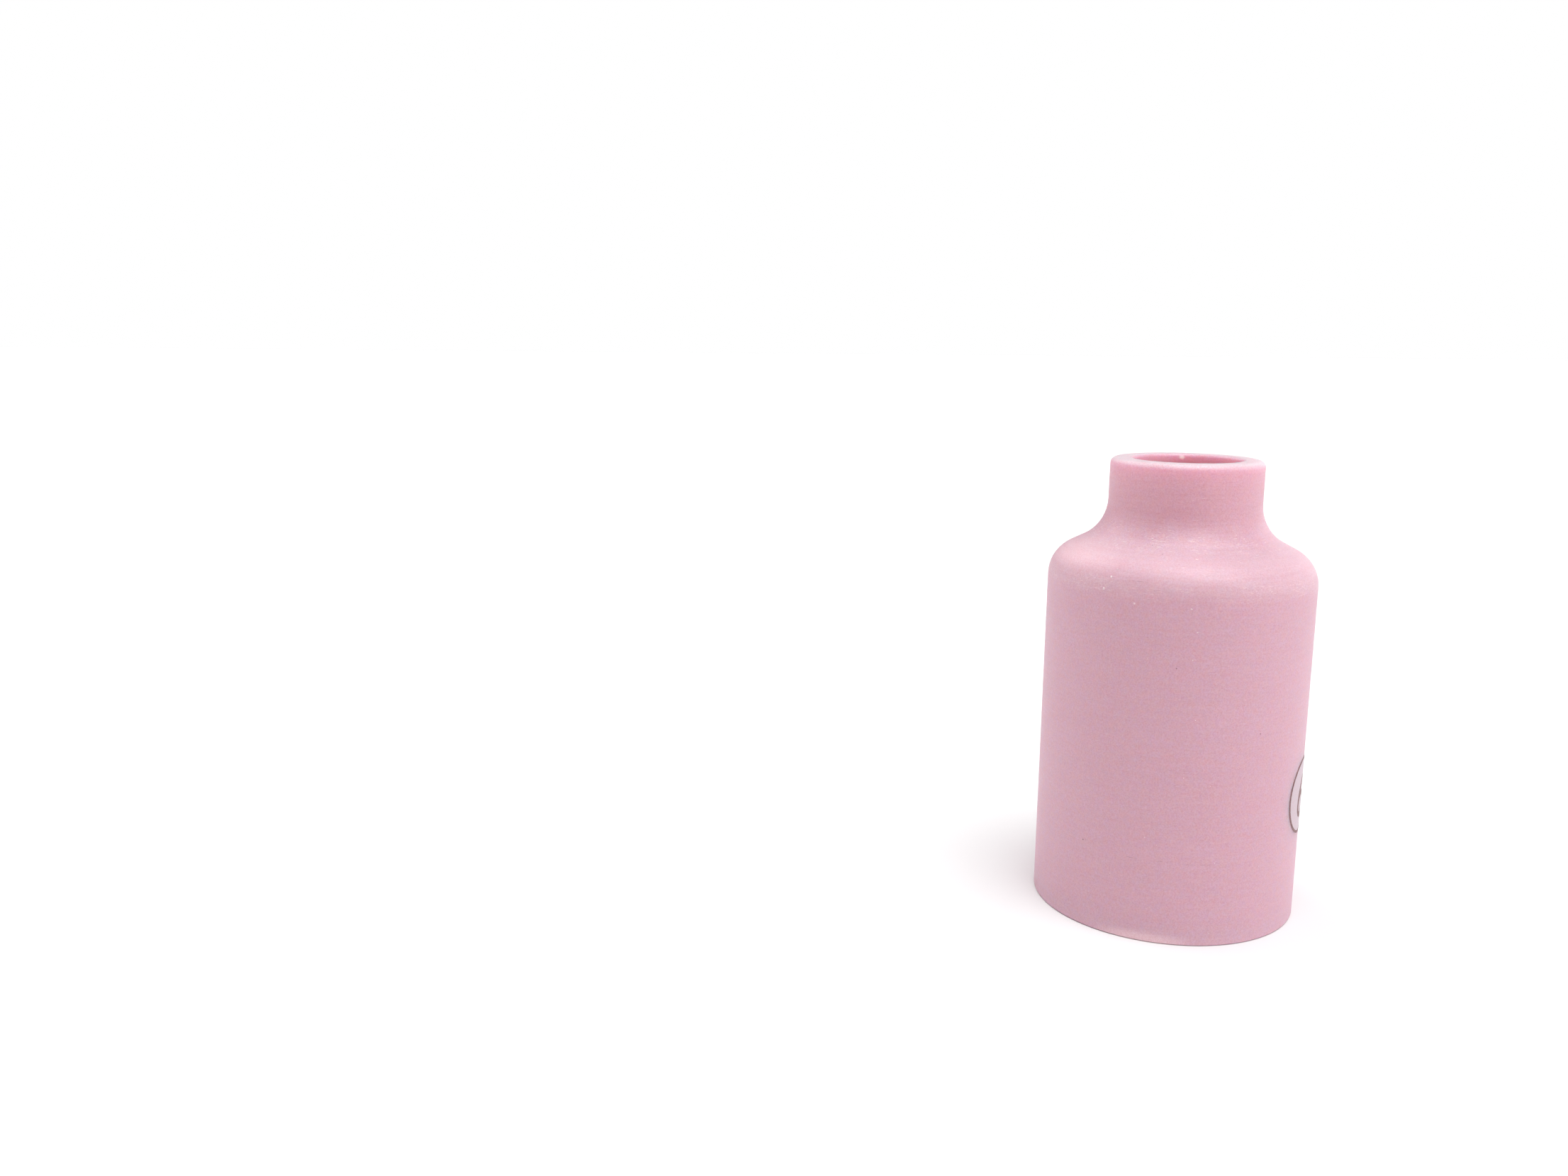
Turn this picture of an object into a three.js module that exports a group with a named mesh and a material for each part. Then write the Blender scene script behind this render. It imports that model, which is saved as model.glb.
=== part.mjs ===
// A gas cup for a TIG welding torch: one hollow shell of pink alumina, turned about +Z.
// It stands on its wide end, which is open and threaded inside. The narrow mouth is on top.
// Millimetres, +Z up, with the origin at the centre of the base face.
import * as THREE from "three";

// Overall form. A cup's size number is its orifice in sixteenths of an inch.
const LENGTH = 41.3; // base face to mouth face
const ORIFICE_DIAMETER = 9.53; // gas outlet of a number 6 cup
const NECK_WALL = 1.935; // outside the orifice, which makes the neck 13.4 across
const NECK_LENGTH = 3.8; // straight neck, from the mouth face down to the fillet
const CAVITY_DIAMETER = 18.4; // smooth bore of the body, and the thread's minor diameter
const THREAD_WALL = 1.95; // outside the thread's root, which makes the body 23.6 across

// Conical shoulder between the body and the neck.
const SHOULDER_FALL_DEG = 27.5; // measured down from the horizontal
const SHOULDER_WALL = 2.2; // between the outer and the inner cone, square to them
const SHOULDER_ROUND = 3.25; // convex, where the body turns into the cone
const NECK_FILLET = 4.05; // hollow, where the cone turns up into the neck
const CAVITY_ROUND = 1.5; // inside, where the cavity's wall turns into the cone
const THROAT_ROUND = 2.5; // inside, where the cone turns up into the orifice

// Edges.
const MOUTH_OUTER_ROUND = 0.6;
const MOUTH_INNER_ROUND = 0.18;
const BASE_ROUND = 0.3;
const LEAD_IN_MARGIN = 0.3; // chamfer at the base, beyond the thread's root

// Internal thread, right-hand: a rounded groove that starts in the chamfer.
const THREAD_PITCH = 2.117; // twelve turns to the inch
const THREAD_DEPTH = 0.65; // cut outwards from the cavity's wall
const THREAD_TURNS = 4;
const RUN_OUT_TURNS = 0.8; // stretch at the top over which the groove fades away

// Fineness of the faceted shell.
const SIDES = 48;
const ARC_TOLERANCE = 0.02; // most that a chord falls short of its arc
const ROWS_PER_TURN = 8;
const CHAMFER_ROWS = 4;

const FULL_TURN = 2 * Math.PI;
const fall = THREE.MathUtils.degToRad(SHOULDER_FALL_DEG);

const orificeRadius = ORIFICE_DIAMETER / 2;
const neckRadius = orificeRadius + NECK_WALL;
const cavityRadius = CAVITY_DIAMETER / 2;
const threadRootRadius = cavityRadius + THREAD_DEPTH;
const bodyRadius = threadRootRadius + THREAD_WALL;
const leadInRadius = threadRootRadius + Math.min(LEAD_IN_MARGIN, THREAD_WALL / 3);
const leadInHeight = leadInRadius - cavityRadius; // a chamfer at 45 degrees
const threadTopZ = leadInHeight + THREAD_TURNS * THREAD_PITCH;
const coneGap = SHOULDER_WALL / Math.cos(fall); // between the two cones, straight down

// Height of the outer cone's surface, whose fillet meets the neck NECK_LENGTH below the mouth.
function coneHeight(radius) {
  const filletReach = NECK_FILLET * Math.tan((Math.PI / 2 - fall) / 2);
  const footZ = LENGTH - NECK_LENGTH - filletReach;
  return footZ - (radius - neckRadius) * Math.tan(fall);
}

// A corner of the half section. Steps is how many rows its stretch from the corner before has.
function corner(radius, z, round = 0, steps = 1) {
  return { at: new THREE.Vector2(radius, z), round, steps };
}

// The half section, up the outside and down the inside.
function corners() {
  return [
    corner(bodyRadius, 0, BASE_ROUND),
    corner(bodyRadius, coneHeight(bodyRadius), SHOULDER_ROUND),
    corner(neckRadius, coneHeight(neckRadius), NECK_FILLET),
    corner(neckRadius, LENGTH, MOUTH_OUTER_ROUND),
    corner(orificeRadius, LENGTH, MOUTH_INNER_ROUND),
    corner(orificeRadius, coneHeight(orificeRadius) - coneGap, THROAT_ROUND),
    corner(cavityRadius, coneHeight(cavityRadius) - coneGap, CAVITY_ROUND),
    corner(cavityRadius, threadTopZ),
    corner(cavityRadius, leadInHeight, 0, Math.ceil(THREAD_TURNS * ROWS_PER_TURN)),
    corner(leadInRadius, 0, 0, CHAMFER_ROWS),
  ];
}

// Points of the arc that softens a corner. It takes at most half of the stretch on either side.
function softened(before, { at, round }, after) {
  if (round === 0) return [at];
  const back = before.at.clone().sub(at);
  const ahead = after.at.clone().sub(at);
  const turn = Math.PI - back.angleTo(ahead);
  const halfTurn = Math.tan(turn / 2);
  const reach = Math.min(round * halfTurn, back.length() / 2, ahead.length() / 2);
  const arcRadius = reach / halfTurn;
  const direction = -Math.sign(back.cross(ahead));
  const start = at.clone().add(back.setLength(reach));
  const middle = back.normalize().add(ahead.normalize());
  const centre = at.clone().add(middle.setLength(arcRadius / Math.cos(turn / 2)));
  const widestStep = 2 * Math.acos(1 - Math.min(ARC_TOLERANCE / arcRadius, 1));
  const steps = Math.ceil(turn / widestStep);
  return Array.from({ length: steps + 1 }, (_, i) =>
    start.clone().rotateAround(centre, (direction * turn * i) / steps),
  );
}

// The closed half section as points of radius and height.
function outline() {
  const all = corners();
  const points = [];
  all.forEach((here, i) => {
    const arc = softened(all.at(i - 1), here, all[(i + 1) % all.length]);
    for (let step = 1; step < here.steps; step++) {
      points.push(all.at(i - 1).at.clone().lerp(arc[0], step / here.steps));
    }
    points.push(...arc);
  });
  points.push(points[0].clone());
  return points;
}

// How deep the groove is at a height and an angle about the axis.
function grooveDepth(z, angle) {
  const wave = 0.5 + 0.5 * Math.cos(FULL_TURN * (z / THREAD_PITCH) - angle);
  const fadeFromZ = threadTopZ - RUN_OUT_TURNS * THREAD_PITCH;
  const fade = THREE.MathUtils.smoothstep(z, fadeFromZ, threadTopZ);
  return THREAD_DEPTH * wave * (1 - fade);
}

// Moves the inner wall out to the groove's surface wherever that lies further out.
function cutThread(geometry) {
  const position = geometry.getAttribute("position");
  const midWallRadius = (leadInRadius + bodyRadius) / 2;
  for (let i = 0; i < position.count; i++) {
    const x = position.getX(i);
    const y = position.getY(i);
    const z = position.getZ(i);
    const radius = Math.hypot(x, y);
    if (radius < midWallRadius && z < threadTopZ) {
      const grooveRadius = cavityRadius + grooveDepth(z, Math.atan2(y, x));
      const scale = Math.max(radius, grooveRadius) / radius;
      position.setXY(i, x * scale, y * scale);
    }
  }
}

function cupGeometry() {
  const geometry = new THREE.LatheGeometry(outline(), SIDES);
  geometry.rotateX(Math.PI / 2); // the lathe turns about Y, and the cup stands along Z
  cutThread(geometry);
  geometry.computeVertexNormals();
  return geometry;
}

function alumina() {
  return new THREE.MeshStandardMaterial({
    color: 0xd19fae,
    roughness: 0.6,
    metalness: 0,
  });
}

const gasCup = new THREE.Mesh(cupGeometry(), alumina());
gasCup.name = "gas_cup";

const torchCup = new THREE.Group();
torchCup.add(gasCup);

export default torchCup;
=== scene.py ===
"""How the gas cup of a TIG torch looks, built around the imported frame.

The cup is one turned shell of pink alumina, fired without a glaze. It stands on its wide end, which is
threaded inside, with its narrow mouth up. A size mark is printed on its side, and a few grains of kiln grit
are fired onto it. Lengths are in metres, and the cup stands on the origin along +Z.
"""

from __future__ import annotations

import logging
import math
import random
from dataclasses import dataclass
from enum import Enum
from typing import Any

import bpy
from mathutils import Matrix, Vector


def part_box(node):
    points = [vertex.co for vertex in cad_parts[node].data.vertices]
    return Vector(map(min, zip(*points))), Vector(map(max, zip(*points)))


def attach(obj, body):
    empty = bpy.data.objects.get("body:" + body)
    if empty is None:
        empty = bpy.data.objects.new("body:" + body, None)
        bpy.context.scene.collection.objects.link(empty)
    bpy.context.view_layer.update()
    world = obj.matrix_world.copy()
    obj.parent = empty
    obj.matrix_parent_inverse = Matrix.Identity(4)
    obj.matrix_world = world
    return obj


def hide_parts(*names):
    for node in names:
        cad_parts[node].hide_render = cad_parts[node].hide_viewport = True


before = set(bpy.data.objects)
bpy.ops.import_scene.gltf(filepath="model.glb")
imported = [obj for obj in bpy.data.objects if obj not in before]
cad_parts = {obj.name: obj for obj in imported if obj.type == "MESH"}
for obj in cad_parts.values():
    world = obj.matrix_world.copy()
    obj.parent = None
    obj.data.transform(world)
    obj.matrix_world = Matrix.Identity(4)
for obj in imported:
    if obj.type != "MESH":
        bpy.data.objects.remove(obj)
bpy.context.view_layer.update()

LOG = logging.getLogger("gas_cup")
MM = 0.001
FULL_TURN = 2 * math.pi
RIGHT_ANGLE = math.pi / 2
Triple = tuple[float, float, float]


# --- Node trees -------------------------------------------------------------------------------------------


class Flow:
    """What leaves a node's socket, as a value that Python's operators work on.

    Each operator adds a Math node, or a Vector Math node where a vector takes part.
    """

    def __init__(self, tree: Tree, socket: bpy.types.NodeSocket) -> None:
        """Wraps a socket.

        Args:
            tree: The tree that the socket is in.
            socket: A node's output.
        """
        self.tree = tree
        self.socket = socket

    def apply(self, operation: str, *operands: Any) -> Flow:
        """Adds one node of maths.

        Args:
            operation: The node's operation, such as "ADD".
            operands: What its sockets take, in order.

        Returns:
            The node's result.
        """
        flows = [x for x in operands if isinstance(x, Flow)]
        is_vector = any(x.socket.type == "VECTOR" for x in flows)
        kind = "ShaderNodeVectorMath" if is_vector else "ShaderNodeMath"
        node = self.tree.add(kind, {"operation": operation}, dict(enumerate(operands)))
        return Flow(self.tree, node.outputs[0])

    def __add__(self, other: Any) -> Flow:
        """Adds."""
        return self.apply("ADD", self, other)

    def __radd__(self, other: Any) -> Flow:
        """Adds, from the right."""
        return self.apply("ADD", other, self)

    def __sub__(self, other: Any) -> Flow:
        """Subtracts."""
        return self.apply("SUBTRACT", self, other)

    def __rsub__(self, other: Any) -> Flow:
        """Subtracts from a number."""
        return self.apply("SUBTRACT", other, self)

    def __mul__(self, other: Any) -> Flow:
        """Multiplies."""
        return self.apply("MULTIPLY", self, other)

    def __rmul__(self, other: Any) -> Flow:
        """Multiplies, from the right."""
        return self.apply("MULTIPLY", other, self)

    def __truediv__(self, other: Any) -> Flow:
        """Divides."""
        return self.apply("DIVIDE", self, other)

    def __lt__(self, other: Any) -> Flow:
        """Gives 1 where this is the lesser, and 0 elsewhere."""
        return self.apply("LESS_THAN", self, other)

    def at_least(self, other: Any) -> Flow:
        """Gives the larger of the two."""
        return self.apply("MAXIMUM", self, other)

    def ease(self, start: float | Flow, end: float | Flow) -> Flow:
        """Rises smoothly from 0 to 1.

        Args:
            start: Where this gives 0.
            end: Where this gives 1. It may be the lower of the two.

        Returns:
            The eased value.
        """
        inputs = {"Value": self, "From Min": start, "From Max": end}
        node = self.tree.add("ShaderNodeMapRange", {"interpolation_type": "SMOOTHSTEP"}, inputs)
        return Flow(self.tree, node.outputs[0])

    def near(self, middle: float, reach: float, core: float) -> Flow:
        """Marks what is close to a value.

        Args:
            middle: The value.
            reach: How far from it this falls to 0.
            core: How far from it this is still 1.

        Returns:
            The eased mark.
        """
        return self.apply("ABSOLUTE", self - middle).ease(reach, core)

    def axes(self) -> tuple[Flow, Flow, Flow]:
        """Splits a vector into X, Y and Z."""
        node = self.tree.add("ShaderNodeSeparateXYZ", {}, {0: self})
        x, y, z = (Flow(self.tree, socket) for socket in node.outputs)
        return x, y, z

    def length(self) -> Flow:
        """Gives a vector's length."""
        return self.tree.flow("ShaderNodeVectorMath", {"operation": "LENGTH"}, {0: self}, 1)


class Tree:
    """A node tree that is being built, for a material, the world or Geometry Nodes."""

    def __init__(self, tree: bpy.types.NodeTree) -> None:
        """Starts from an empty tree.

        Args:
            tree: The tree to build in. Its nodes are removed.
        """
        self.tree = tree
        self.tree.nodes.clear()

    def add(self, kind: str, settings: dict[str, Any], inputs: dict[str | int, Any]) -> bpy.types.Node:
        """Adds any node.

        Args:
            kind: The node's type.
            settings: Its properties, which are set first.
            inputs: Values or links by socket name or number.

        Returns:
            The node.
        """
        node = self.tree.nodes.new(kind)
        for name, setting in settings.items():
            setattr(node, name, setting)
        for key, value in inputs.items():
            self.feed(node.inputs[key], value)
        return node

    def feed(self, socket: bpy.types.NodeSocket, value: Any) -> None:
        """Links or sets one input.

        Args:
            socket: The input.
            value: A flow to link, or a value that suits the socket.
        """
        if isinstance(value, Flow):
            self.tree.links.new(value.socket, socket)
        elif socket.type == "VECTOR" and isinstance(value, (int, float)):
            socket.default_value = (value, value, value)
        elif socket.type == "RGBA":
            socket.default_value = (*value[:3], 1.0)
        else:
            socket.default_value = value

    def flow(
        self, kind: str, settings: dict[str, Any], inputs: dict[str | int, Any], output: str | int = 0
    ) -> Flow:
        """Adds any node and gives one of its outputs.

        Args:
            kind: The node's type.
            settings: Its properties.
            inputs: Values or links by socket name or number.
            output: The output's name or number.

        Returns:
            That output.
        """
        return Flow(self, self.add(kind, settings, inputs).outputs[output])

    def mix(self, factor: Flow | float, start: Any, end: Any, blend: str = "MIX") -> Flow:
        """Mixes two colours.

        Args:
            factor: 0 for the first colour, 1 for the second.
            start: The first colour.
            end: The second colour.
            blend: The way in which the second goes over the first.

        Returns:
            The mixed colour.
        """
        first, second, result = 6, 7, 2
        inputs = {0: factor, first: start, second: end}
        return self.flow("ShaderNodeMix", {"data_type": "RGBA", "blend_type": blend}, inputs, result)

    def noise(self, place: Flow, size: float, detail: float = 2.0, roughness: float = 0.5) -> Flow:
        """Adds soft noise.

        Args:
            place: Where the noise is read.
            size: Rough size of its features, in the unit of place.
            detail: Octaves.
            roughness: How strong the finer octaves are.

        Returns:
            A value about 0.5, mostly from 0.3 to 0.7.
        """
        inputs = {"Vector": place, "Scale": 1 / size, "Detail": detail, "Roughness": roughness}
        return self.flow("ShaderNodeTexNoise", {"noise_dimensions": "3D"}, inputs, 0)

    def specks(self, place: Flow, spacing: float, radius: float, share: float) -> Flow:
        """Scatters small dots, one at most in each cell of a Voronoi pattern.

        Args:
            place: Where the pattern is read.
            spacing: Size of a cell.
            radius: Radius of the largest dots.
            share: Share of the cells that have a dot.

        Returns:
            A mask that is 1 inside a dot.
        """
        inputs = {"Vector": place, "Scale": 1 / spacing, "Randomness": 1.0}
        node = self.add("ShaderNodeTexVoronoi", {"feature": "F1"}, inputs)
        distance = Flow(self, node.outputs["Distance"]) * spacing
        chances = self.add("ShaderNodeSeparateColor", {}, {0: Flow(self, node.outputs["Color"])})
        lot, size, _ = (Flow(self, output) for output in chances.outputs)
        inside = distance.ease(radius * (0.5 + 0.5 * size), radius * 0.25)
        return inside * (lot < share)


class MaterialTree(Tree):
    """The node tree of a new material."""

    def __init__(self, name: str) -> None:
        """Starts a material.

        Args:
            name: The material's name.
        """
        self.material = bpy.data.materials.new(name)
        self.material.use_nodes = True
        super().__init__(self.material.node_tree)

    def place(self) -> Flow:
        """Gives Object coordinates in mm."""
        return self.flow("ShaderNodeTexCoord", {}, {}, "Object") * (1 / MM)

    def principled(self, inputs: dict[str | int, Any]) -> Flow:
        """Adds a Principled shader with these inputs and gives its result."""
        return self.flow("ShaderNodeBsdfPrincipled", {}, inputs)

    def ended(self, surface: Flow) -> bpy.types.Material:
        """Ends the tree with its surface and gives the material."""
        self.add("ShaderNodeOutputMaterial", {}, {"Surface": surface})
        return self.material


class GeometryTree(Tree):
    """A Geometry Nodes tree with named inputs, which makes a plain mesh of an object."""

    def __init__(self, name: str) -> None:
        """Starts a tree that takes and gives geometry.

        Args:
            name: The tree's name.
        """
        super().__init__(bpy.data.node_groups.new(name, "GeometryNodeTree"))
        for side in ("INPUT", "OUTPUT"):
            self.tree.interface.new_socket("Geometry", in_out=side, socket_type="NodeSocketGeometry")
        self.entry = self.add("NodeGroupInput", {}, {})
        self.values: dict[str, Any] = {}

    @property
    def source(self) -> Flow:
        """The geometry of the object that the tree is put on."""
        return Flow(self, self.entry.outputs["Geometry"])

    def size(self, name: str, value: Any) -> Flow:
        """Adds a named input and the value that it will have.

        Args:
            name: The input's name.
            value: A float, an int or a material.

        Returns:
            The input.
        """
        kinds = {float: "NodeSocketFloat", int: "NodeSocketInt", bpy.types.Material: "NodeSocketMaterial"}
        item = self.tree.interface.new_socket(name, in_out="INPUT", socket_type=kinds[type(value)])
        self.values[item.identifier] = value
        return Flow(self, self.entry.outputs[name])

    def make(self, geometry: Flow, finish: bpy.types.Material, piece: bpy.types.Object) -> bpy.types.Object:
        """Ends the tree, runs it on an object and leaves the object with the plain result.

        Args:
            geometry: What the tree has made.
            finish: The material of the result.
            piece: The object, which keeps its name.

        Returns:
            The same object.
        """
        solid = self.flow("GeometryNodeRealizeInstances", {}, {"Geometry": geometry})
        dressed = {"Geometry": solid, "Material": self.size("Finish", finish)}
        result = self.flow("GeometryNodeSetMaterial", {}, dressed)
        self.add("NodeGroupOutput", {}, {"Geometry": result})
        modifier = piece.modifiers.new(self.tree.name, "NODES")
        modifier.node_group = self.tree
        for identifier, value in self.values.items():
            modifier[identifier] = value
        depsgraph = bpy.context.evaluated_depsgraph_get()
        mesh = bpy.data.meshes.new_from_object(piece.evaluated_get(depsgraph))
        piece.modifiers.clear()
        piece.data = mesh
        mesh.name = piece.name
        return piece


def srgb(code: str) -> Triple:
    """Turns a colour as seen on a screen into the linear values that shaders use.

    Args:
        code: Six hexadecimal digits.

    Returns:
        Linear red, green and blue.
    """
    shares = (int(code[i : i + 2], 16) / 255 for i in (0, 2, 4))
    red, green, blue = (x / 12.92 if x <= 0.04045 else ((x + 0.055) / 1.055) ** 2.4 for x in shares)
    return red, green, blue


def linked(name: str, mesh: bpy.types.Mesh) -> bpy.types.Object:
    """Puts a mesh in the scene as an object at the origin.

    Args:
        name: Name of the object.
        mesh: Its mesh.

    Returns:
        The object.
    """
    piece = bpy.data.objects.new(name, mesh)
    bpy.context.scene.collection.objects.link(piece)
    return piece


# --- Finishes ---------------------------------------------------------------------------------------------


@dataclass(frozen=True)
class Mark:
    """A soft-edged mark on the cup's outside or in its bore. Degrees and mm, its length along the turning."""

    turn: float
    height: float
    length: float
    width: float
    climb: float = 0.0
    strength: float = 1.0
    deepest: float = 1.5
    in_bore: bool = False

    def mask(self, cup: CupSurface) -> Flow:
        """Marks the place.

        Args:
            cup: The tree of the cup's material.

        Returns:
            A value that falls from the mark's strength in its middle to 0 at its edge.
        """
        turn = math.radians(self.turn)
        if self.in_bore:
            centre = Matrix.Rotation(turn, 3, "Z") @ Vector((cup.shell.orifice_radius, 0.0, self.height * MM))
        else:
            centre, _ = cup.shell.outside(turn, self.height * MM)
        inputs = {
            "Vector": cup.spot,
            "Location": centre / MM,
            "Rotation": (0.0, -math.radians(self.climb), turn + RIGHT_ANGLE),
            "Scale": (self.length / 2, min(self.length, self.deepest), self.width / 2),
        }
        local = cup.flow("ShaderNodeMapping", {"vector_type": "TEXTURE"}, inputs)
        return local.length().ease(1.0, 0.2) * self.strength


RUBS = (
    Mark(-122.0, 34.75, 2.6, 0.5, 4.0, 0.7),
    Mark(-96.0, 35.0, 3.2, 1.4, 12.0, 0.7),
    Mark(-98.8, 33.6, 0.9, 0.16),
    Mark(-90.5, 34.4, 0.7, 0.14),
    Mark(-105.0, 33.05, 0.8, 0.12, 0.0, 0.6),
    Mark(-77.5, 33.45, 1.0, 0.16),
    Mark(-77.0, 32.5, 0.9, 0.12, -8.0, 0.6),
    Mark(-141.3, 33.2, 0.5, 1.1, 0.0, 0.6),
    Mark(-92.0, 31.25, 8.0, 0.9, 4.0, 0.3),
    Mark(-100.0, 41.12, 0.5, 0.2),
    Mark(-88.0, 41.12, 0.8, 0.2),
)
SCRATCHES = (
    Mark(-107.2, 38.13, 0.9, 0.12, 9.0),
    Mark(-100.5, 38.27, 0.7, 0.11, 9.0),
    Mark(-94.2, 38.45, 1.1, 0.13, 9.0),
    Mark(-103.0, 38.7, 0.8, 0.09, 14.0, 0.6),
    Mark(-97.5, 36.6, 1.2, 0.1, 6.0, 0.6),
)
DARK_LINES = (
    Mark(-138.0, 31.82, 3.6, 0.1, -1.0, 0.6),
    Mark(-123.0, 31.75, 2.6, 0.12, 0.0, 0.6),
    Mark(-119.5, 7.5, 1.7, 0.1),
    Mark(-106.2, 7.55, 1.3, 0.1),
    Mark(-92.0, 7.45, 4.2, 0.08),
)
DARK_SPECKS = (
    Mark(-105.8, 24.68, 0.18, 0.18),
    Mark(-68.2, 18.94, 0.2, 0.18),
    Mark(-142.0, 7.92, 0.2, 0.2),
    Mark(-124.0, 34.4, 0.16, 0.14, 0.0, 0.5),
    Mark(-116.5, 33.83, 0.16, 0.14, 0.0, 0.5),
)
# Painted light: a pale band above the base edge where light from the floor falls, and a pale patch on the
# left of the shoulder.
PAINTED_LIGHT_PATCHES = (
    Mark(-113.0, 0.15, 12.0, 2.0, 0.0, 0.9, 2.0),
    Mark(-168.0, 33.3, 15.0, 3.8, 0.0, 0.5, 5.0),
)
BORE_GRAIN = Mark(79.0, 40.93, 0.75, 0.55, in_bore=True)


class CupSurface(MaterialTree):
    """The tree of a material for the cup's shell, which knows the places on the cup in mm."""

    def __init__(self, name: str, shell: CupShell) -> None:
        """Starts the material.

        Args:
            name: The material's name.
            shell: The cup's sizes, which place the marks of turning and handling.
        """
        super().__init__(name)
        self.shell = shell
        self.spot = self.place()
        self.radius = (self.spot * (1.0, 1.0, 0.0)).length()
        _, _, self.z = self.spot.axes()

    def marks(self, marks: tuple[Mark, ...]) -> Flow:
        """Joins the masks of marks that don't overlap.

        Args:
            marks: The marks.

        Returns:
            One mask.
        """
        return sum(mark.mask(self) for mark in marks)


@dataclass(frozen=True)
class BisqueAlumina:
    """Pink alumina as it leaves the kiln: matt, finely grained, with specks and rubs. Sizes in mm."""

    warm_colour: Triple = srgb("d8a5b0")
    cool_colour: Triple = srgb("d4a5bb")
    grey_colour: Triple = srgb("d2abb8")
    pale_colour: Triple = srgb("f2e2de")
    dark_colour: Triple = srgb("8d5a66")
    # Painted light on the base edge and on the left of the shoulder.
    painted_light_colour: Triple = srgb("ecc2ca")
    # Paler mouth flat: its ground face, with a painted sheen.
    ground_and_sheen_colour: Triple = srgb("d4c9cd")
    # Painted shade round the neck's foot.
    neck_shade_colour: Triple = srgb("d89aa4")
    # Painted highlight on the shoulder.
    shoulder_highlight_colour: Triple = srgb("d3b5be")
    deep_grain: Triple = (0.84, 0.65, 0.68)
    light_grain: Triple = (1.12, 1.35, 1.32)
    roughness: float = 0.5
    refraction: float = 1.76
    light_reach: float = 3.5
    reach_by_colour: Triple = (1.0, 0.5, 0.55)
    dense_base: float = 1.6
    grain: float = 0.13
    turning_lines: float = 0.2
    hue_patches: float = 0.5
    grey_patches: float = 0.35
    scratch_pieces: float = 0.3
    dashes: float = 0.07
    rub_patches: float = 2.2
    chips: float = 0.35
    chip_depth: float = 0.4
    mottle: float = 0.2
    # Strength of the painted shade round the neck's foot.
    neck_shade: float = 0.2
    # Strength of the painted highlight on the shoulder.
    shoulder_highlight: float = 0.42
    # Strength of the painted light in the bore.
    painted_light_in_bore: float = 0.2
    body_streaks: float = 0.2
    cone_streaks: float = 0.12
    grain_relief: float = 0.012
    line_relief: float = 0.004
    scuff_relief: float = 0.008
    mark_relief: float = 0.01
    bore_grain_height: float = 0.05

    def build(self, shell: CupShell) -> bpy.types.Material:
        """Makes the material.

        Args:
            shell: The cup's sizes.

        Returns:
            The material.
        """
        cup = CupSurface("bisque_alumina", shell)
        grain = cup.noise(cup.spot, self.grain, detail=2.0, roughness=0.6)
        lines = cup.noise(cup.spot * (0.06, 0.06, 1.0), self.turning_lines, detail=2.0) - 0.5
        corner = shell.shoulder_corner / MM
        shoulder = cup.z.near(corner, 2.6, 1.0)
        rubs = self._rubs(cup)
        breaks = cup.noise(cup.spot, self.scratch_pieces, detail=1.0).ease(0.36, 0.56)
        scratches = cup.marks(SCRATCHES) * breaks
        dark_lines = cup.marks(DARK_LINES) * breaks
        dark = cup.marks(DARK_SPECKS).at_least(cup.specks(cup.spot, spacing=3.4, radius=0.08, share=0.1))
        pale = cup.specks(cup.spot + 40.0, spacing=1.4, radius=0.06, share=0.2)
        bore_grain = BORE_GRAIN.mask(cup)

        streaks = lines * (self.body_streaks + self.cone_streaks * cup.z.ease(corner - 3.9, corner - 1.4))
        tint = cup.mix(grain + streaks, self.deep_grain, self.light_grain)
        colour = cup.mix(1.0, self._body_colour(cup, shoulder), tint, "MULTIPLY")
        # Pale rubs, scratches, specks and the bore's grain are real wear and grit. The pale band in the bore
        # is painted light.
        wear_and_painted_light = (rubs * 0.75).at_least(scratches * 0.35).at_least(pale * 0.5)
        wear_and_painted_light = wear_and_painted_light.at_least(self._painted_bore_band(cup)).at_least(bore_grain * 0.9)
        colour = cup.mix(wear_and_painted_light, colour, self.pale_colour)
        colour = cup.mix((dark * 0.9).at_least(dark_lines * 0.35), colour, self.dark_colour)

        turned = lines * (self.line_relief + self.scuff_relief * shoulder)
        marked = (pale - (dark + dark_lines + scratches)) * self.mark_relief
        height = (grain - 0.5) * self.grain_relief + turned + marked + bore_grain * self.bore_grain_height
        skin = {
            "Base Color": colour,
            "Roughness": self.roughness - rubs * 0.1 + (grain - 0.5) * 0.1,
            "IOR": self.refraction,
            "Normal": cup.flow("ShaderNodeBump", {}, {"Strength": 1.0, "Distance": MM, "Height": height}),
        }
        depth = {
            "Subsurface Weight": 1.0,
            "Subsurface Radius": self.reach_by_colour,
            "Subsurface Scale": self.light_reach * MM,
        }
        base = cup.z.ease(self.dense_base, 0.1)
        shaders = {0: base, 1: cup.principled({**skin, **depth}), 2: cup.principled(skin)}
        return cup.ended(cup.flow("ShaderNodeMixShader", {}, shaders))

    def _body_colour(self, cup: CupSurface, shoulder: Flow) -> Flow:
        """Makes the colour of the ceramic, with its painted light and shade, before its grain and its marks.

        Args:
            cup: The tree of the cup's material.
            shoulder: A mask of the shoulder, where a paler highlight is painted.

        Returns:
            The colour.
        """
        hue = cup.noise(cup.spot, self.hue_patches, detail=4.0, roughness=0.75)
        grey = cup.noise(cup.spot + 20.0, self.grey_patches, detail=4.0, roughness=0.7)
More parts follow.
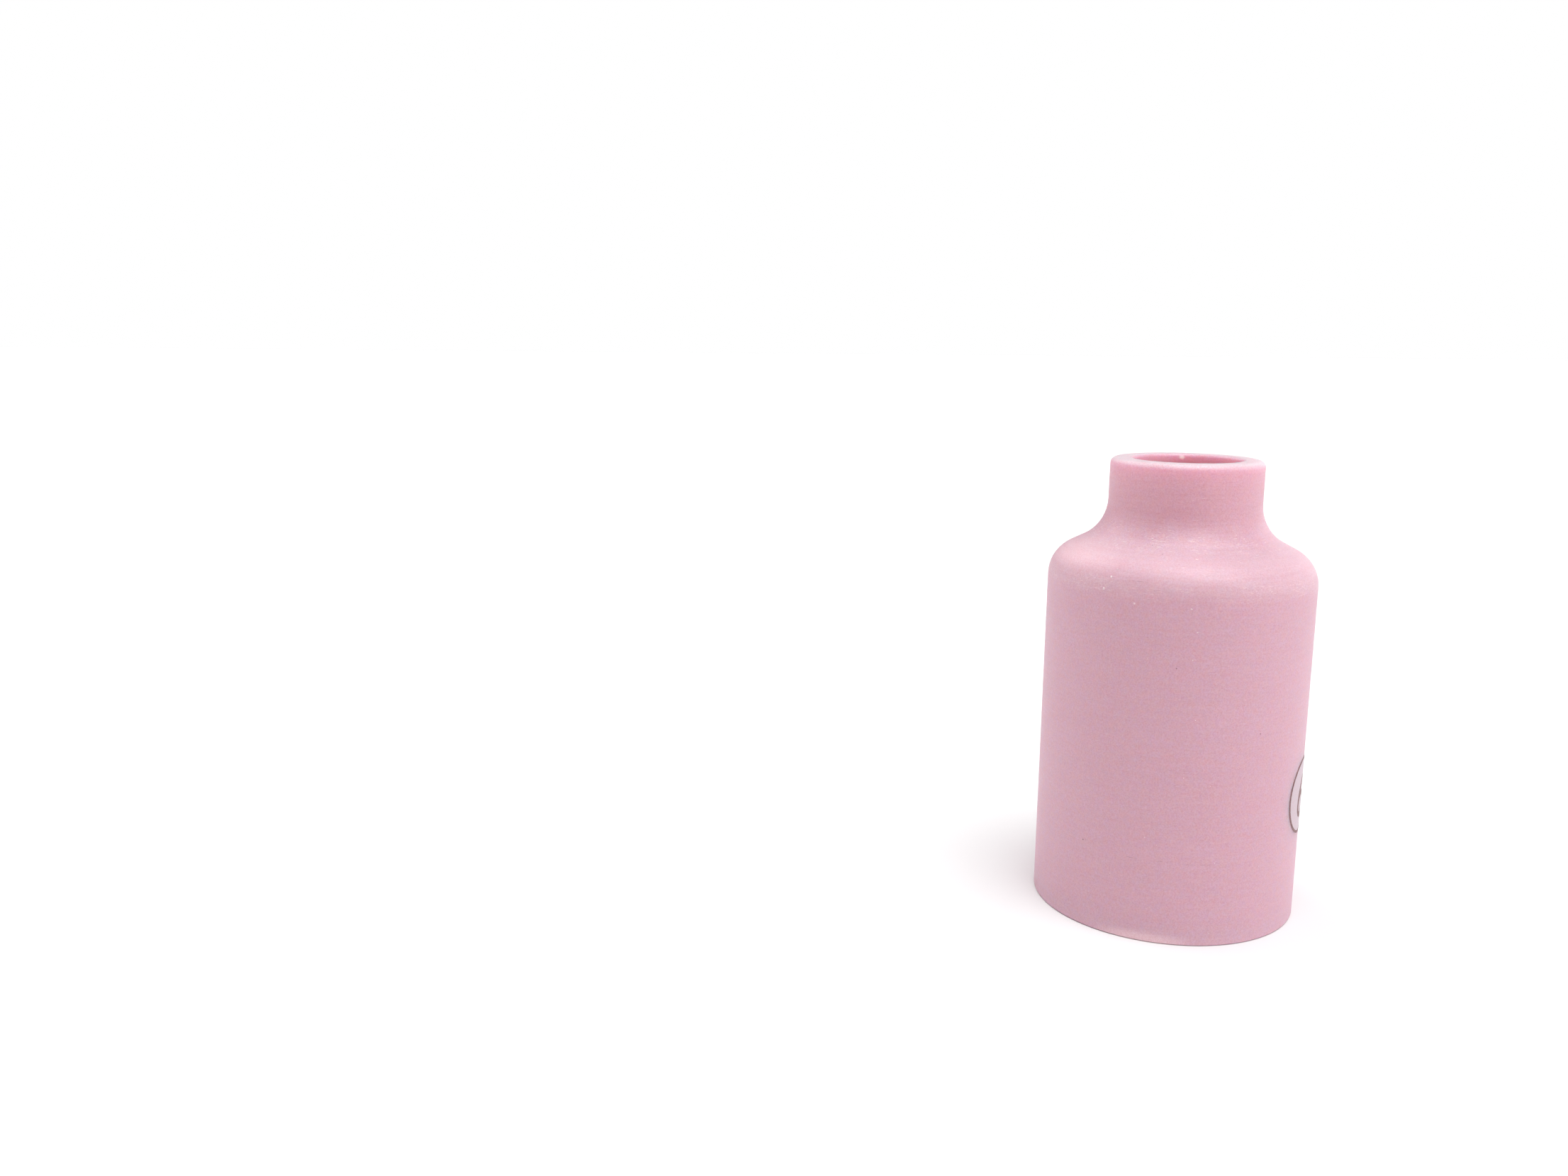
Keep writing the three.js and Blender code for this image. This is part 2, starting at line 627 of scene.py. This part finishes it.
        # Painted shade: a darker, deeper pink band round the neck's foot, where the fillet's crease is
        # shaded.
        neck_shade = cup.z.near(cup.shell.neck_foot / MM, 4.0, 0.5)
        colour = cup.mix(hue.ease(0.3, 0.7), self.warm_colour, self.cool_colour)
        colour = cup.mix(grey.ease(0.45, 0.75) * 0.5, colour, self.grey_colour)
        colour = cup.mix(neck_shade * self.neck_shade, colour, self.neck_shade_colour)
        # Painted highlight: a paler, greyer band round the shoulder's round, where it catches the light.
        colour = cup.mix(shoulder * self.shoulder_highlight, colour, self.shoulder_highlight_colour)
        # Painted light: pale patches on the base edge and the left shoulder, where light falls.
        colour = cup.mix(cup.marks(PAINTED_LIGHT_PATCHES), colour, self.painted_light_colour)
        # Paler mouth flat: partly a ground face, partly a painted sheen.
        return cup.mix(self._ground_face_and_sheen(cup), colour, self.ground_and_sheen_colour)

    def _ground_face_and_sheen(self, cup: CupSurface) -> Flow:
        """Makes the paler flat at the mouth, partly its ground face and partly a painted sheen where the flat
        top catches the light. It fades over its chipped edges.

        Args:
            cup: The tree of the cup's material.

        Returns:
            A mask of the flat.
        """
        top = cup.shell.length / MM
        inner = cup.shell.orifice_radius / MM + 0.05
        chips = cup.noise(cup.spot, self.chips, detail=3.0, roughness=0.7) * self.chip_depth
        mottle = 0.45 + 0.4 * cup.noise(cup.spot, self.mottle, detail=2.0, roughness=0.6)
        return cup.z.ease(top - 0.35 - chips, top - 0.03) * cup.radius.ease(inner, inner + 0.3) * mottle

    def _painted_bore_band(self, cup: CupSurface) -> Flow:
        """Makes a painted pool of light: the pale band that runs round the mouth's bore, just below its edge,
        where light falls in.

        Args:
            cup: The tree of the cup's material.

        Returns:
            A mask of it.
        """
        bore = cup.shell.orifice_radius / MM
        band = cup.z.near(cup.shell.length / MM - 0.8, 0.6, 0.2)
        return cup.radius.ease(bore + 0.3, bore + 0.1) * band * self.painted_light_in_bore

    def _rubs(self, cup: CupSurface) -> Flow:
        """Makes the pale rubs where cups knock together, broken up into short dashes along the turning.

        Args:
            cup: The tree of the cup's material.

        Returns:
            A mask of the rubs.
        """
        dashes = cup.noise(cup.spot * (0.2, 0.2, 1.0), self.dashes, detail=2.0, roughness=0.6)
        patches = cup.noise(cup.spot, self.rub_patches, detail=1.0).ease(0.36, 0.6)
        fillet = cup.z.near(cup.shell.neck_foot / MM - 2.6, 1.8, 0.4)
        shoulder = cup.z.near(cup.shell.shoulder_corner / MM - 1.3, 1.2, 0.2)
        faint = dashes.ease(0.52, 0.7) * patches * (fillet * 0.55 + shoulder * 0.5 + 0.05)
        return (dashes.ease(0.53, 0.66) * cup.marks(RUBS)).at_least(faint)


@dataclass(frozen=True)
class FiredInk:
    """Ceramic ink, a little worn. Sizes in mm."""

    name: str
    colour: Triple
    worn_colour: Triple
    roughness: float = 0.5
    grain: float = 0.14
    wear: float = 0.8
    relief: float = 0.01

    def build(self) -> bpy.types.Material:
        """Makes the material.

        Returns:
            The material.
        """
        tree = MaterialTree(self.name)
        place = tree.place()
        wear = tree.noise(place, self.grain, detail=3.0, roughness=0.65)
        colour = tree.mix(wear.ease(0.5, 0.68) * self.wear, self.colour, self.worn_colour)
        bump = tree.flow("ShaderNodeBump", {}, {"Distance": MM, "Height": wear * self.relief})
        inputs = {"Base Color": colour, "Roughness": self.roughness, "Normal": bump}
        return tree.ended(tree.principled(inputs))


LINE_INK = FiredInk("line_ink", srgb("764a49"), srgb("a67c81"))
GROUND_INK = FiredInk("ground_ink", srgb("cdbbc4"), srgb("cfaab6"))


@dataclass(frozen=True)
class WhiteGrit:
    """White alumina grains from the kiln's setter, part sunk in the surface. Sizes in mm."""

    colour: Triple = srgb("f4e6e8")
    shaded_colour: Triple = srgb("e3c6cd")
    roughness: float = 0.5
    patches: float = 0.3

    def build(self) -> bpy.types.Material:
        """Makes the material.

        Returns:
            The material.
        """
        tree = MaterialTree("white_grit")
        tint = tree.noise(tree.place(), self.patches, detail=1.0)
        colour = tree.mix(tint.ease(0.35, 0.65), self.colour, self.shaded_colour)
        return tree.ended(tree.principled({"Base Color": colour, "Roughness": self.roughness}))


@dataclass(frozen=True)
class StudioPaper:
    """The plain white paper that the cup stands on."""

    colour: Triple = (0.83, 0.83, 0.83)
    roughness: float = 0.9
    specular: float = 0.1

    def build(self) -> bpy.types.Material:
        """Makes the material.

        Returns:
            The material.
        """
        tree = MaterialTree("studio_paper")
        sheen = {"Roughness": self.roughness, "Specular IOR Level": self.specular}
        return tree.ended(tree.principled({"Base Color": self.colour, **sheen}))


# --- The cup ----------------------------------------------------------------------------------------------


class Wall(Enum):
    """Which wall of the shell a stretch of its outline belongs to."""

    PLAIN = 0.0
    THREADED = 1.0


@dataclass(frozen=True)
class Corner:
    """A corner of the shell's half section, softened by a round."""

    radius: float
    z: float
    round: float
    wall: Wall = Wall.PLAIN


@dataclass
class CupShell:
    """The ceramic shell. Its length and width come from the frame, and the rest follows the CAD part."""

    length: float
    body_radius: float
    neck_radius: float = 6.7 * MM
    orifice_radius: float = 4.765 * MM
    neck_length: float = 3.8 * MM
    thread_wall: float = 1.95 * MM
    thread_depth: float = 0.65 * MM
    thread_pitch: float = 2.117 * MM
    thread_turns: float = 4.0
    run_out_turns: float = 0.8
    shoulder_fall: float = math.radians(27.5)
    shoulder_round: float = 3.25 * MM
    neck_fillet: float = 4.05 * MM
    shoulder_wall: float = 2.2 * MM
    cavity_round: float = 1.5 * MM
    throat_round: float = 2.5 * MM
    mouth_outer_round: float = 0.6 * MM
    mouth_inner_round: float = 0.28 * MM
    base_round: float = 0.12 * MM
    lead_in_margin: float = 0.3 * MM
    lead_in_round: float = 0.12 * MM
    segments: int = 216
    longest_step: float = 1.2 * MM
    thread_step: float = 0.13 * MM
    arc_step: float = math.radians(7.5)

    @classmethod
    def from_frame(cls, node: str) -> CupShell:
        """Takes the overall sizes from a CAD node.

        Args:
            node: The node's name.

        Returns:
            The shell.
        """
        low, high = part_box(node)
        return cls(length=high.z - low.z, body_radius=(high.x - low.x) / 2)

    @property
    def cavity_radius(self) -> float:
        """Radius of the smooth bore."""
        return self.body_radius - self.thread_wall - self.thread_depth

    @property
    def lead_in_radius(self) -> float:
        """Radius of the lead-in chamfer at the base."""
        return self.cavity_radius + self.thread_depth + self.lead_in_margin

    @property
    def lead_in_height(self) -> float:
        """Height of the chamfer, which is at 45 degrees."""
        return self.lead_in_radius - self.cavity_radius

    @property
    def thread_top(self) -> float:
        """Height at which the thread has run out."""
        return self.lead_in_height + self.thread_turns * self.thread_pitch

    @property
    def neck_foot(self) -> float:
        """Height at which the straight neck starts."""
        return self.length - self.neck_length

    @property
    def shoulder_corner(self) -> float:
        """Height at which the body's wall and the cone would meet."""
        return self.cone_height(self.body_radius)

    def cone_height(self, radius: float) -> float:
        """Gives the outer cone's height.

        Args:
            radius: Distance from the axis.

        Returns:
            The height there.
        """
        tangent = self.neck_fillet * math.tan((RIGHT_ANGLE - self.shoulder_fall) / 2)
        foot = self.neck_foot - tangent
        return foot - (radius - self.neck_radius) * math.tan(self.shoulder_fall)

    def corners(self) -> list[Corner]:
        """Lists the corners of the half section, up the outside and down the inside.

        Returns:
            The corners.
        """
        drop = self.shoulder_wall / math.cos(self.shoulder_fall)
        throat = self.cone_height(self.orifice_radius) - drop
        cavity_top = self.cone_height(self.cavity_radius) - drop
        return [
            Corner(self.body_radius, 0.0, self.base_round),
            Corner(self.body_radius, self.shoulder_corner, self.shoulder_round),
            Corner(self.neck_radius, self.cone_height(self.neck_radius), self.neck_fillet),
            Corner(self.neck_radius, self.length, self.mouth_outer_round),
            Corner(self.orifice_radius, self.length, self.mouth_inner_round),
            Corner(self.orifice_radius, throat, self.throat_round),
            Corner(self.cavity_radius, cavity_top, self.cavity_round),
            Corner(self.cavity_radius, self.thread_top, 0.0, Wall.THREADED),
            Corner(self.cavity_radius, self.lead_in_height, self.lead_in_round, Wall.THREADED),
            Corner(self.lead_in_radius, 0.0, self.lead_in_round),
        ]

    def _rounded(self, before: Corner, corner: Corner, after: Corner) -> list[Vector]:
        """Rounds one corner.

        Args:
            before: The corner before it.
            corner: The corner to round.
            after: The corner after it.

        Returns:
            Points of the arc, or the corner itself where it has no round.
        """
        point = Vector((corner.radius, corner.z))
        back = (Vector((before.radius, before.z)) - point).normalized()
        ahead = (Vector((after.radius, after.z)) - point).normalized()
        turn = math.pi - back.angle(ahead)
        if corner.round == 0.0 or turn < 1e-6:
            return [point]
        start = point + back * corner.round * math.tan(turn / 2)
        middle = point + (back + ahead).normalized() * corner.round / math.cos(turn / 2)
        spoke = start - middle
        side = math.copysign(1.0, back.x * ahead.y - back.y * ahead.x)
        steps = max(2, math.ceil(turn / self.arc_step))
        turns = (Matrix.Rotation(-side * turn * i / steps, 2) for i in range(steps + 1))
        return [middle + rotation @ spoke for rotation in turns]

    def outline(self) -> list[tuple[Vector, Wall]]:
        """Makes the closed half section, in steps short enough for its shape.

        Returns:
            Each point's radius and height, and the wall that it is on.
        """
        corners = self.corners()
        count = len(corners)
        points: list[tuple[Vector, Wall]] = []
        for i, corner in enumerate(corners):
            arc = self._rounded(corners[i - 1], corner, corners[(i + 1) % count])
            if points:
                wall = corner.wall
                is_thread = wall is Wall.THREADED and points[-1][1] is wall
                longest = self.thread_step if is_thread else self.longest_step
                points += self._between(points[-1][0], arc[0], longest, wall)
            points += [(point, corner.wall) for point in arc]
        points += self._between(points[-1][0], points[0][0], self.longest_step, Wall.PLAIN)
        points.append(points[0])
        return points

    def outside(self, turn: float, height: float) -> tuple[Vector, Vector]:
        """Finds a spot on the outside of the shell.

        Args:
            turn: Its angle round the axis, from +X.
            height: Its height, below the mouth.

        Returns:
            The spot, and the direction straight out of the surface there.
        """
        points = [point for point, _ in self.outline()]
        low, high = next((a, b) for a, b in zip(points, points[1:]) if a.y <= height <= b.y)
        along = high - low
        radius = low.x + along.x * (height - low.y) / along.y
        spin = Matrix.Rotation(turn, 3, "Z")
        return spin @ Vector((radius, 0.0, height)), spin @ Vector((along.y, 0.0, -along.x)).normalized()

    @staticmethod
    def _between(start: Vector, end: Vector, longest: float, wall: Wall) -> list[tuple[Vector, Wall]]:
        """Fills a straight stretch of the outline, without its ends.

        Args:
            start: Where it starts.
            end: Where it ends.
            longest: The longest step.
            wall: The wall that it is on.

        Returns:
            The points between.
        """
        steps = max(1, math.ceil((end - start).length / longest))
        return [(start.lerp(end, i / steps), wall) for i in range(1, steps)]

    def _outline_object(self) -> bpy.types.Object:
        """Makes an object of the outline's points, which the tree turns into the shell."""
        stations = self.outline()
        mesh = bpy.data.meshes.new("outline")
        mesh.from_pydata([(point.x, 0.0, point.y) for point, _ in stations], [], [])
        walls = mesh.attributes.new("threaded", "FLOAT", "POINT")
        walls.data.foreach_set("value", [wall.value for _, wall in stations])
        return linked("alumina_shell", mesh)

    def build(self, finish: bpy.types.Material) -> bpy.types.Object:
        """Turns the outline about Z and cuts the thread into its inner wall.

        Args:
            finish: The ceramic.

        Returns:
            The shell.
        """
        tree = GeometryTree("turned_shell")
        segments = tree.size("Segments", self.segments)
        pitch = tree.size("Thread Pitch", self.thread_pitch)
        depth = tree.size("Thread Depth", self.thread_depth)
        bore = tree.size("Cavity Radius", self.cavity_radius)
        top = tree.size("Thread Top", self.thread_top)
        run_out = tree.size("Run Out", self.run_out_turns * self.thread_pitch)

        stations = tree.flow("GeometryNodeAttributeDomainSize", {}, {"Geometry": tree.source}, "Point Count")
        columns = segments + 1
        grid = tree.flow("GeometryNodeMeshGrid", {}, {"Vertices X": stations, "Vertices Y": columns}, "Mesh")
        index = tree.flow("GeometryNodeInputIndex", {}, {})
        station = index.apply("FLOOR", (index + 0.5) / columns)
        angle = (station * columns - index) * (FULL_TURN / self.segments)
        section = tree.flow("GeometryNodeInputPosition", {}, {})
        threaded = {"data_type": "FLOAT"}
        flag = tree.flow("GeometryNodeInputNamedAttribute", threaded, {"Name": "threaded"}, "Attribute")
        sampled = {"Geometry": tree.source, "Index": station}
        vector = {"data_type": "FLOAT_VECTOR"}
        point = tree.flow("GeometryNodeSampleIndex", vector, {**sampled, "Value": section})
        is_threaded = tree.flow("GeometryNodeSampleIndex", threaded, {**sampled, "Value": flag})

        radius, _, z = point.axes()
        phase = z / pitch * FULL_TURN - angle
        groove = depth * (0.5 + 0.5 * phase.apply("COSINE", phase)) * z.ease(top, top - run_out)
        radius = radius.at_least((bore + groove) * is_threaded)
        x = radius * angle.apply("COSINE", angle)
        y = radius * angle.apply("SINE", angle)
        place = tree.flow("ShaderNodeCombineXYZ", {}, {"X": x, "Y": y, "Z": z})
        turned = tree.flow("GeometryNodeSetPosition", {}, {"Geometry": grid, "Position": place})
        closed = tree.flow("GeometryNodeMergeByDistance", {}, {"Geometry": turned, "Distance": 0.002 * MM})
        smooth = tree.flow("GeometryNodeSetShadeSmooth", {}, {"Geometry": closed})
        return tree.make(smooth, finish, self._outline_object())


@dataclass(frozen=True)
class Grain:
    """One grain of grit: degrees round the cup, mm up it, and its radius in mm."""

    turn: float
    height: float
    radius: float


@dataclass
class KilnGrit:
    """Grains of grit that were fired onto the shell: some that stand out, and finer ones. Sizes in mm."""

    grains: tuple[Grain, ...] = (
        Grain(-138.2, 30.82, 0.16),
        Grain(-124.2, 29.89, 0.12),
        Grain(-101.5, 29.81, 0.11),
        Grain(-136.0, 31.85, 0.11),
        Grain(-134.5, 32.49, 0.09),
        Grain(-125.5, 34.88, 0.14),
        Grain(-98.5, 27.85, 0.08),
        Grain(-78.8, 33.47, 0.08),
        Grain(-97.0, 20.3, 0.055),
        Grain(-100.2, 15.17, 0.055),
        Grain(-117.3, 25.28, 0.055),
        Grain(-167.2, 5.89, 0.08),
        Grain(-85.0, 7.62, 0.06),
        Grain(-114.2, 9.51, 0.06),
    )
    scattered: int = 70
    scatter_radii: tuple[float, float] = (0.03, 0.06)
    scatter_heights: tuple[float, float] = (1.0, 40.0)
    sunk: float = 0.35
    lumpiness: float = 0.5
    squash: float = 0.7
    seed: int = 7

    def _seats(self, shell: CupShell) -> list[tuple[Vector, float]]:
        """Finds where the grains sit.

        Args:
            shell: The cup's sizes.

        Returns:
            Each grain's centre and radius, in metres.
        """
        chance = random.Random(self.seed)
        ranges = ((-180.0, 180.0), self.scatter_heights, self.scatter_radii)
        scatter = [Grain(*(chance.uniform(*ends) for ends in ranges)) for _ in range(self.scattered)]
        seats = []
        for grain in (*self.grains, *scatter):
            spot, out = shell.outside(math.radians(grain.turn), grain.height * MM)
            radius = grain.radius * MM
            seats.append((spot - out * (radius * self.sunk), radius))
        return seats

    def build(self, shell: CupShell, finish: bpy.types.Material) -> bpy.types.Object:
        """Puts a lumpy grain at each seat.

        Args:
            shell: The cup's sizes.
            finish: The grit's material.

        Returns:
            The grains.
        """
        seats = self._seats(shell)
        mesh = bpy.data.meshes.new("kiln_grit")
        mesh.from_pydata([spot for spot, _ in seats], [], [])
        radii = mesh.attributes.new("radius", "FLOAT", "POINT")
        radii.data.foreach_set("value", [radius for _, radius in seats])

        tree = GeometryTree("seated_grit")
        lumpiness = tree.size("Lumpiness", self.lumpiness)
        squash = tree.size("Squash", self.squash)
        seed = tree.size("Seed", self.seed)
        ball = tree.flow("GeometryNodeMeshIcoSphere", {}, {"Radius": 1.0, "Subdivisions": 2}, "Mesh")
        spot = tree.flow("GeometryNodeInputPosition", {}, {})
        swell = spot * ((tree.noise(spot, 0.8) - 0.5) * lumpiness)
        lump = tree.flow("GeometryNodeSetPosition", {}, {"Geometry": ball, "Offset": swell})
        named = {"Name": "radius"}
        radius = tree.flow("GeometryNodeInputNamedAttribute", {"data_type": "FLOAT"}, named, "Attribute")
        vector = {"data_type": "FLOAT_VECTOR"}
        full_turns = (FULL_TURN, FULL_TURN, FULL_TURN)
        turn = tree.flow("FunctionNodeRandomValue", vector, {0: (0.0, 0.0, 0.0), 1: full_turns, "Seed": seed})
        full_size = (1.0, 1.0, 1.0)
        shape = tree.flow("FunctionNodeRandomValue", vector, {0: squash, 1: full_size, "Seed": seed + 1})
        inputs = {"Points": tree.source, "Instance": lump, "Scale": shape * radius, "Rotation": turn}
        placed = tree.flow("GeometryNodeInstanceOnPoints", {}, inputs)
        smooth = tree.flow("GeometryNodeSetShadeSmooth", {}, {"Geometry": placed})
        return tree.make(smooth, finish, linked("kiln_grit", mesh))


@dataclass
class SizeMark:
    """A pale printed disc, its rim and the numeral 6: the orifice's size in sixteenths of an inch."""

    shell_radius: float
    facing: float = math.radians(-27.2)
    height: float = 11.7 * MM
    ring_radius: float = 3.4 * MM
    ring_line: float = 0.22 * MM
    bowl_radius: float = 1.05 * MM
    stem_radius: float = 2.8 * MM
    stem_turn: float = math.radians(62)
    numeral_line: float = 0.5 * MM
    film: float = 0.02 * MM
    ground_film: float = 0.01 * MM
    step: float = 0.2 * MM

    def _arc(self, centre: Vector, radius: float, start: float, turn: float) -> list[Vector]:
        """Gives the points of an arc.

        Args:
            centre: Its centre, in the plane of the print.
            radius: Its radius.
            start: Angle at which it starts.
            turn: Angle through which it turns.

        Returns:
            The points, with both ends.
        """
        steps = math.ceil(radius * abs(turn) / self.step)
        angles = (start + turn * i / steps for i in range(steps + 1))
        return [centre + radius * Vector((math.cos(a), math.sin(a))) for a in angles]

    def strokes(self) -> list[tuple[list[Vector], float]]:
        """Draws the mark flat, about its own centre.

        Returns:
            Each stroke's line of points and its width.
        """
        middle = Vector((0.0, 0.0))
        bowl = Vector((0.0, -self.bowl_radius * 0.8))
        stem_centre = bowl + Vector((self.stem_radius - self.bowl_radius, 0.0))
        ring = self._arc(middle, self.ring_radius, 0.0, FULL_TURN)
        numeral = self._arc(bowl, self.bowl_radius, math.pi, FULL_TURN)
        stem = self._arc(stem_centre, self.stem_radius, math.pi, -self.stem_turn)
        return [(ring, self.ring_line), (numeral, self.numeral_line), (stem, self.numeral_line)]

    def build(self, finish: bpy.types.Material) -> bpy.types.Object:
        """Sweeps the strokes and wraps them round the cup.

        Args:
            finish: The ink.

        Returns:
            The mark.
        """
        verts: list[Vector] = []
        faces: list[tuple[int, ...]] = []
        for line, width in self.strokes():
            self._add_ribbon(verts, faces, line, width)
        return self._printed("size_mark", verts, faces, finish)

    def build_ground(self, finish: bpy.types.Material) -> bpy.types.Object:
        """Makes the disc that the strokes are printed on.

        Args:
            finish: The ink.

        Returns:
            The disc.
        """
        steps = math.ceil(self.ring_radius / self.step)
        radii = [self.ring_radius * (i + 1) / steps for i in range(steps)]
        rings = [(r, self.ground_film) for r in radii] + [(r, -self.ground_film) for r in reversed(radii)]
        spokes = math.ceil(FULL_TURN * self.ring_radius / self.step)
        turns = [FULL_TURN * k / spokes for k in range(spokes)]
        verts = [Vector((r * math.cos(a), r * math.sin(a), z)) for r, z in rings for a in turns]
        pairs = [(k, (k + 1) % spokes) for k in range(spokes)]
        faces: list[tuple[int, ...]] = []
        for i in range(len(rings) - 1):
            here = i * spokes
            there = here + spokes
            faces += [(here + k, there + k, there + n, here + n) for k, n in pairs]
        under = len(verts) - spokes
        top, bottom = len(verts), len(verts) + 1
        verts += [Vector((0.0, 0.0, self.ground_film)), Vector((0.0, 0.0, -self.ground_film))]
        faces += [(top, k, n) for k, n in pairs]
        faces += [(bottom, under + n, under + k) for k, n in pairs]
        return self._printed("size_mark_ground", verts, faces, finish)

    def _printed(
        self, name: str, verts: list[Vector], faces: list[tuple[int, ...]], finish: bpy.types.Material
    ) -> bpy.types.Object:
        """Wraps a flat film round the cup.

        Args:
            name: Name of the object.
            verts: The film's points, with the height over the ceramic as Z.
            faces: Its faces.
            finish: The ink.

        Returns:
            The print.
        """
        mesh = bpy.data.meshes.new(name)
        mesh.from_pydata([self._wrapped(v) for v in verts], [], faces)
        mesh.materials.append(finish)
        return linked(name, mesh)

    def _add_ribbon(
        self, verts: list[Vector], faces: list[tuple[int, ...]], line: list[Vector], width: float
    ) -> None:
        """Adds a closed flat ribbon along a line.

        Args:
            verts: The mesh's points so far, with the height over the ceramic as Z.
            faces: The mesh's faces so far.
            line: The ribbon's middle line.
            width: Its width.
        """
        first = len(verts)
        closed = (line[0] - line[-1]).length < self.step * 0.1
        points = line[:-1] if closed else line
        count = len(points)
        for i, point in enumerate(points):
            ahead = points[(i + 1) % count] if closed else points[min(i + 1, count - 1)]
            behind = points[i - 1] if closed or i else points[0]
            along = (ahead - behind).normalized()
            side = Vector((-along.y, along.x)) * (width / 2)
            for edge, z in ((side, self.film), (-side, self.film), (-side, -self.film), (side, -self.film)):
                spot = point + edge
                verts.append(Vector((spot.x, spot.y, z)))
        for i in range(count if closed else count - 1):
            here = first + 4 * i
            there = first + 4 * ((i + 1) % count)
            for k in range(4):
                n = (k + 1) % 4
                faces.append((here + k, here + n, there + n, there + k))
        if not closed:
            last = first + 4 * (count - 1)
            faces.append((first + 3, first + 2, first + 1, first))
            faces.append((last, last + 1, last + 2, last + 3))

    def _wrapped(self, point: Vector) -> Vector:
        """Wraps a point of the flat print round the cup.

        Args:
            point: Its place in the print, with its height over the ceramic as Z.

        Returns:
            Its place on the cup.
        """
        angle = self.facing + point.x / self.shell_radius
        radius = self.shell_radius + point.z
        return Vector((radius * math.cos(angle), radius * math.sin(angle), self.height + point.y))


# --- The studio -------------------------------------------------------------------------------------------


@dataclass(frozen=True)
class Glow:
    """A bright part of the studio's walls. Its azimuth is 0 in front of the cup and 90 at its right."""

    azimuth: float
    elevation: float
    strength: float
    sharpness: float = 12.0

    def direction(self) -> Triple:
        """Points from the cup towards the glow."""
        azimuth, elevation = math.radians(self.azimuth), math.radians(self.elevation)
        across = math.cos(elevation)
        return across * math.sin(azimuth), -across * math.cos(azimuth), math.sin(elevation)


@dataclass
class Studio:
    """White paper, softly glowing white walls and the camera."""

    floor_reach: float = 4.0
    floor_gap: float = 0.03 * MM
    glows: tuple[Glow, ...] = (
        Glow(0.0, 90.0, 2.35, 20.0),
        Glow(0.0, 66.0, 3.48),
        Glow(60.0, 66.0, 2.3),
        Glow(225.0, 40.0, 2.68),
        Glow(45.0, 12.0, 1.45),
        Glow(90.0, 12.0, 1.28),
        Glow(135.0, 12.0, 1.76),
        Glow(270.0, 12.0, 0.98),
    )
    camera_place: Triple = (-0.036130, -0.119006, 0.051696)
    camera_pitch: float = math.radians(-10.740)
    camera_roll: float = math.radians(0.4756)
    focal_pixels: float = 1866.8
    photo_width: int = 2212
    sensor_width: float = 36.0

    def build(self) -> None:
        """Makes everything round the cup."""
        self._floor()
        self._world()
        self._camera()
        bpy.context.scene.view_settings.view_transform = "Standard"

    def _floor(self) -> None:
        """Lays the paper."""
        reach = self.floor_reach
        low = -self.floor_gap
        corners = [(-reach, -reach, low), (reach, -reach, low), (reach, reach, low), (-reach, reach, low)]
        mesh = bpy.data.meshes.new("floor")
        mesh.from_pydata(corners, [], [(0, 1, 2, 3)])
        mesh.materials.append(StudioPaper().build())
        linked("floor", mesh)

    def _world(self) -> None:
        """Surrounds the scene with white walls, which the camera sees as plain white."""
        world = bpy.data.worlds.new("studio")
        world.use_nodes = True
        tree = Tree(world.node_tree)
        toward = tree.flow("ShaderNodeTexCoord", {}, {}, "Generated")
        glow: Flow | float = 0.0
        for part in self.glows:
            inputs = {0: toward, 1: part.direction()}
            facing = tree.flow("ShaderNodeVectorMath", {"operation": "DOT_PRODUCT"}, inputs, 1).at_least(0.0)
            glow = facing.apply("POWER", facing, part.sharpness) * part.strength + glow
        seen = tree.flow("ShaderNodeLightPath", {}, {}, "Is Camera Ray")
        white = {"Color": (1.0, 1.0, 1.0)}
        walls = tree.flow("ShaderNodeBackground", {}, {**white, "Strength": glow})
        plain = tree.flow("ShaderNodeBackground", {}, {**white, "Strength": 1.0})
        surface = tree.flow("ShaderNodeMixShader", {}, {0: seen, 1: walls, 2: plain})
        tree.add("ShaderNodeOutputWorld", {}, {"Surface": surface})
        bpy.context.scene.world = world

    def _camera(self) -> None:
        """Sets the camera where the photograph was taken from."""
        camera = bpy.data.cameras.new("camera")
        camera.sensor_width = self.sensor_width
        camera.lens = self.focal_pixels / self.photo_width * self.sensor_width
        camera.clip_start = 0.01
        viewer = bpy.data.objects.new("camera", camera)
        tilt = Matrix.Rotation(RIGHT_ANGLE + self.camera_pitch, 4, "X")
        roll = Matrix.Rotation(self.camera_roll, 4, "Z")
        viewer.matrix_world = Matrix.Translation(self.camera_place) @ tilt @ roll
        bpy.context.scene.collection.objects.link(viewer)
        bpy.context.scene.camera = viewer


def report(piece: bpy.types.Object) -> None:
    """Logs a finished piece.

    Args:
        piece: The piece.
    """
    piece.data.calc_loop_triangles()
    size = ", ".join(f"{x / MM:.2f}" for x in piece.dimensions)
    LOG.info("%s: %d triangles, %s mm", piece.name, len(piece.data.loop_triangles), size)


def main() -> None:
    """Builds the cup, its finish and the studio."""
    logging.basicConfig(level=logging.INFO, format="%(name)s: %(message)s")
    sizes = CupShell.from_frame("gas_cup")
    shell = sizes.build(BisqueAlumina().build(sizes))
    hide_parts("gas_cup")
    grit = KilnGrit().build(sizes, WhiteGrit().build())
    mark = SizeMark(shell_radius=sizes.body_radius)
    strokes = mark.build(LINE_INK.build())
    ground = mark.build_ground(GROUND_INK.build())
    for piece in (shell, grit, strokes, ground):
        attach(piece, "root")
        report(piece)
    Studio().build()


if __name__ == "__main__":
    main()
